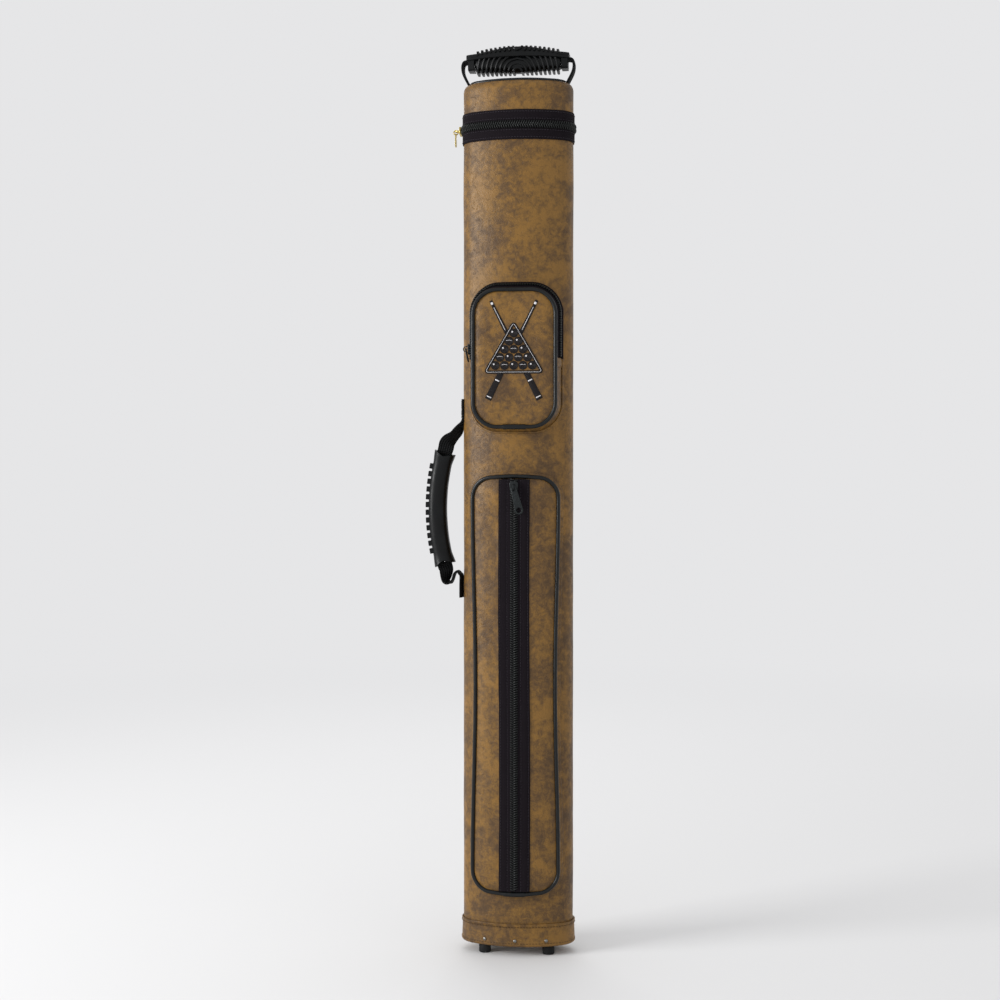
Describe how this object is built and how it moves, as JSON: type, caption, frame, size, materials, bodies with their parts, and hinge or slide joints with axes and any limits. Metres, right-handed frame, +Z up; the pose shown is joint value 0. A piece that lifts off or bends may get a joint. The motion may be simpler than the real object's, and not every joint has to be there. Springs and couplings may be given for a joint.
{
  "type": "cue case",
  "caption": "Oval hard cue case in mottled leatherette with a zipped hinged cap, two front pockets, a side carry handle and a top handle.",
  "frame": {"origin": "bottom centre of the whole object's box, on the plane of the feet's undersides", "axes": "+Z up along the tube, -Y the front with the pockets, -X the side with the carry handle"},
  "size_m": [0.1486, 0.079, 0.894],
  "materials": {
    "leatherette": "mottled brown and gold grained vinyl leather, satin",
    "tube_plastic": "black moulded plastic, satin",
    "foam": "dark grey closed-cell foam, matt",
    "base_ply": "plain birch ply",
    "tack_steel": "bright domed steel",
    "foot_rubber": "black rubber",
    "zip_tape": "black woven zipper tape and nylon coil",
    "piping_vinyl": "black vinyl piping, soft gloss",
    "webbing": "black woven webbing",
    "grip_rubber": "black moulded rubber, satin",
    "black_metal": "black enamelled zinc",
    "gilt_metal": "polished gilt"
  },
  "bodies": {
    "case": {"base_board": "base_ply", "base_cup": "leatherette", "base_pad": "foam", "base_tack_1": "tack_steel", "base_tack_2": "tack_steel", "base_tack_3": "tack_steel", "base_tack_4": "tack_steel", "base_tack_5": "tack_steel", "base_tack_6": "tack_steel", "foot_front_left": "foot_rubber", "foot_front_right": "foot_rubber", "foot_rear_left": "foot_rubber", "foot_rear_right": "foot_rubber", "tube_shell": "tube_plastic", "body_cover": "leatherette", "cue_core": "foam", "cue_insert": "tube_plastic", "butt_liner_left": "tube_plastic", "butt_liner_right": "tube_plastic", "shaft_liner_front": "tube_plastic", "shaft_liner_rear": "tube_plastic", "body_zip": "zip_tape", "hinge_flap_lower": "leatherette", "pocket_gusset": "leatherette", "pocket_zip_base": "zip_tape", "pocket_lower_panel": "leatherette", "pocket_lower_piping": "piping_vinyl", "long_pocket_gusset": "leatherette", "long_pocket_panel_left": "leatherette", "long_pocket_panel_right": "leatherette", "long_pocket_piping": "piping_vinyl", "long_pocket_zip_left": "zip_tape", "long_pocket_zip_right": "zip_tape", "strap_patch_upper": "webbing", "strap_patch_lower": "webbing"},
    "cap": {"cap_cover": "leatherette", "cap_shell": "tube_plastic", "cap_foam_pad": "foam", "cap_top_panel": "leatherette", "cap_piping": "piping_vinyl", "cap_zip": "zip_tape", "hinge_flap_upper": "leatherette", "top_strap_anchor_left": "webbing", "top_strap_anchor_right": "webbing"},
    "cap_slider": {"cap_slider": "gilt_metal"},
    "cap_pull": {"cap_pull_link": "gilt_metal", "cap_pull_tab": "gilt_metal"},
    "pocket_flap": {"pocket_flap_panel": "leatherette", "pocket_flap_piping": "piping_vinyl", "pocket_flap_zip": "zip_tape"},
    "pocket_slider": {"pocket_slider": "black_metal"},
    "pocket_pull": {"pocket_pull": "black_metal"},
    "long_slider": {"long_pocket_slider": "black_metal"},
    "long_pull": {"long_pocket_pull": "black_metal"},
    "side_handle": {"side_grip": "grip_rubber", "side_strap_upper": "webbing", "side_strap_lower": "webbing"},
    "top_handle": {"top_grip": "grip_rubber", "top_strap_left": "webbing", "top_strap_right": "webbing"}
  },
  "joints": [
    {"name": "cap_hinge", "type": "hinge", "parent": "case", "child": "cap", "pos_m": [0.0176, 0.0378, 0.8127], "axis": [-1, 0, 0], "range_deg": [0, 135]},
    {"name": "cap_slider_turn", "type": "hinge", "parent": "case", "child": "cap_slider", "pos_m": [-0.0149, 0.0066, 0.8127], "axis": [0, 0, 1], "range_deg": [-48, 48]},
    {"name": "cap_pull_swing", "type": "hinge", "parent": "cap_slider", "child": "cap_pull", "pos_m": [-0.0449, 0.0066, 0.8127], "axis": [0, 1, 0], "range_deg": [0, 150]},
    {"name": "pocket_flap_fold", "type": "hinge", "parent": "case", "child": "pocket_flap", "pos_m": [0.0176, -0.0346, 0.585], "axis": [1, 0, 0], "range_deg": [0, 110]},
    {"name": "pocket_slider_slide", "type": "slide", "parent": "case", "child": "pocket_slider", "axis": [0, 0, 1], "range_m": [0, 0.026]},
    {"name": "pocket_pull_swing", "type": "hinge", "parent": "pocket_slider", "child": "pocket_pull", "pos_m": [-0.0316, -0.0179, 0.595], "axis": [0, 1, 0], "range_deg": [0, 150]},
    {"name": "long_slider_slide", "type": "slide", "parent": "case", "child": "long_slider", "axis": [0, 0, -1], "range_m": [0, 0.378]},
    {"name": "long_pull_swing", "type": "hinge", "parent": "long_slider", "child": "long_pull", "pos_m": [0.0176, -0.0372, 0.46], "axis": [-1, 0, 0], "range_deg": [0, 160]},
    {"name": "side_handle_swing", "type": "hinge", "parent": "case", "child": "side_handle", "pos_m": [-0.0404, 0.0066, 0.4384], "axis": [0, 0, 1], "range_deg": [-45, 45]},
    {"name": "top_handle_swing", "type": "hinge", "parent": "cap", "child": "top_handle", "pos_m": [0.0176, 0.0066, 0.864], "axis": [1, 0, 0], "range_deg": [-40, 40]}
  ]
}
